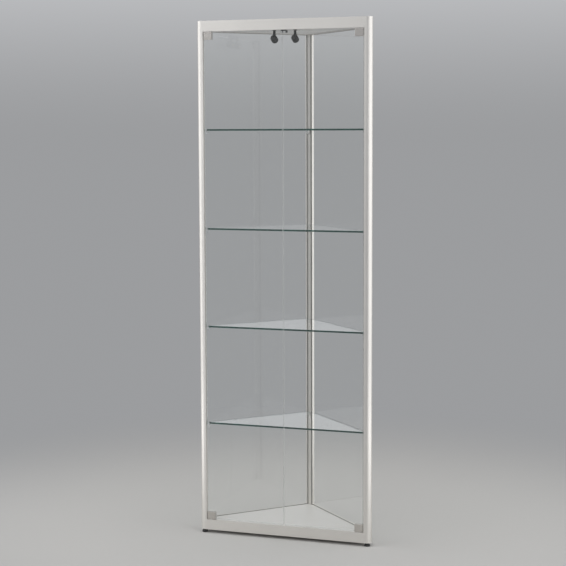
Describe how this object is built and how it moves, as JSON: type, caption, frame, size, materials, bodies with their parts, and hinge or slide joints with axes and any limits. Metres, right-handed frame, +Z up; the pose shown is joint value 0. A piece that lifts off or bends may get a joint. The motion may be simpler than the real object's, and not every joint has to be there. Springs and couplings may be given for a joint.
{
  "type": "corner curio cabinet",
  "caption": "Triangular glazed corner display cabinet: slim aluminium frame, pivot-hinged glass doors, glass shelves, swivel ceiling spotlights and levelling feet.",
  "frame": {"origin": "on the floor under the middle of the frame's box", "axes": "+Z up, -Y out of the front with the doors, +Y to the room corner at the back, +X to the right"},
  "size_m": [0.639, 0.3452, 1.84],
  "materials": {
    "satin_aluminium": "satin anodised",
    "clear_glass": "polished float glass with green edges",
    "white_panel": "white laminate on board",
    "dark_seal": "matt extruded seal",
    "clear_pad": "translucent silicone",
    "bright_chrome": "polished chrome",
    "plain_steel": "zinc plated",
    "grey_nylon": "moulded nylon",
    "black_plastic": "moulded, fine texture",
    "black_paint": "satin powder coat",
    "lamp_lens": "clear lens",
    "lamp_board": "light-emitting board",
    "white_plastic": "moulded housing"
  },
  "bodies": {
    "cabinet_frame": {"front_left_post": "satin_aluminium", "front_right_post": "satin_aluminium", "back_post": "satin_aluminium", "top_front_rail": "satin_aluminium", "bottom_front_rail": "satin_aluminium", "top_left_rail": "satin_aluminium", "top_right_rail": "satin_aluminium", "bottom_left_rail": "satin_aluminium", "bottom_right_rail": "satin_aluminium", "floor_panel": "white_panel", "ceiling_panel": "white_panel", "top_cover": "white_panel", "left_side_glass": "clear_glass", "right_side_glass": "clear_glass", "glass_seals": "dark_seal", "glass_shelf_1": "clear_glass", "glass_shelf_2": "clear_glass", "glass_shelf_3": "clear_glass", "glass_shelf_4": "clear_glass", "shelf_clips": "bright_chrome", "shelf_pads": "clear_pad", "frame_keys": "satin_aluminium", "key_screws": "plain_steel", "foot_bushes": "black_plastic", "post_plugs": "grey_nylon", "door_bushes": "grey_nylon", "latch_body": "black_plastic", "latch_springs": "plain_steel", "spot_bases": "black_paint", "spot_nuts": "black_paint", "lamp_driver": "white_plastic", "lamp_leads": "black_plastic", "cable_gland": "black_plastic"},
    "left_door": {"left_door_glass": "clear_glass", "left_hinge_bodies": "bright_chrome", "left_hinge_pins": "plain_steel", "left_hinge_pads": "clear_pad", "left_hinge_screws": "plain_steel", "left_strike_plate": "plain_steel"},
    "left_spot_swivel": {"left_spot_stem": "black_paint"},
    "left_spot_head": {"left_spot_housing": "black_paint", "left_spot_led": "lamp_board", "left_spot_lens": "lamp_lens", "left_spot_bezel": "black_paint"},
    "left_plunger": {"left_latch_plunger": "black_plastic"},
    "right_door": {"right_door_glass": "clear_glass", "right_hinge_bodies": "bright_chrome", "right_hinge_pins": "plain_steel", "right_hinge_pads": "clear_pad", "right_hinge_screws": "plain_steel", "right_strike_plate": "plain_steel"},
    "right_spot_swivel": {"right_spot_stem": "black_paint"},
    "right_spot_head": {"right_spot_housing": "black_paint", "right_spot_led": "lamp_board", "right_spot_lens": "lamp_lens", "right_spot_bezel": "black_paint"},
    "right_plunger": {"right_latch_plunger": "black_plastic"},
    "front_left_foot": {"front_left_foot": "black_plastic"},
    "front_right_foot": {"front_right_foot": "black_plastic"},
    "back_foot": {"back_foot": "black_plastic"}
  },
  "joints": [
    {"name": "left_door_swing", "type": "hinge", "parent": "cabinet_frame", "child": "left_door", "pos_m": [-0.279, -0.16606, 0.926], "axis": [0, 0, -1], "range_deg": [0, 110]},
    {"name": "left_spot_turn", "type": "hinge", "parent": "cabinet_frame", "child": "left_spot_swivel", "pos_m": [-0.038, -0.14056, 1.7845], "axis": [0, 0, 1], "range_deg": [-170, 170]},
    {"name": "left_spot_tilt", "type": "hinge", "parent": "left_spot_swivel", "child": "left_spot_head", "pos_m": [-0.038, -0.14056, 1.7845], "axis": [-1, 0, 0], "range_deg": [-35, 20]},
    {"name": "left_plunger_push", "type": "slide", "parent": "cabinet_frame", "child": "left_plunger", "axis": [0, 1, 0], "range_m": [0, 0.003], "stiffness_N_per_m": 300, "springref_m": -0.003},
    {"name": "right_door_swing", "type": "hinge", "parent": "cabinet_frame", "child": "right_door", "pos_m": [0.279, -0.16606, 0.926], "axis": [0, 0, 1], "range_deg": [0, 110]},
    {"name": "right_spot_turn", "type": "hinge", "parent": "cabinet_frame", "child": "right_spot_swivel", "pos_m": [0.038, -0.14056, 1.7845], "axis": [0, 0, 1], "range_deg": [-170, 170]},
    {"name": "right_spot_tilt", "type": "hinge", "parent": "right_spot_swivel", "child": "right_spot_head", "pos_m": [0.038, -0.14056, 1.7845], "axis": [-1, 0, 0], "range_deg": [-35, 20]},
    {"name": "right_plunger_push", "type": "slide", "parent": "cabinet_frame", "child": "right_plunger", "axis": [0, 1, 0], "range_m": [0, 0.003], "stiffness_N_per_m": 300, "springref_m": -0.003},
    {"name": "front_left_foot_screw", "type": "slide", "parent": "cabinet_frame", "child": "front_left_foot", "axis": [0, 0, -1], "range_m": [0, 0.008]},
    {"name": "front_right_foot_screw", "type": "slide", "parent": "cabinet_frame", "child": "front_right_foot", "axis": [0, 0, -1], "range_m": [0, 0.008]},
    {"name": "back_foot_screw", "type": "slide", "parent": "cabinet_frame", "child": "back_foot", "axis": [0, 0, -1], "range_m": [0, 0.008]}
  ]
}
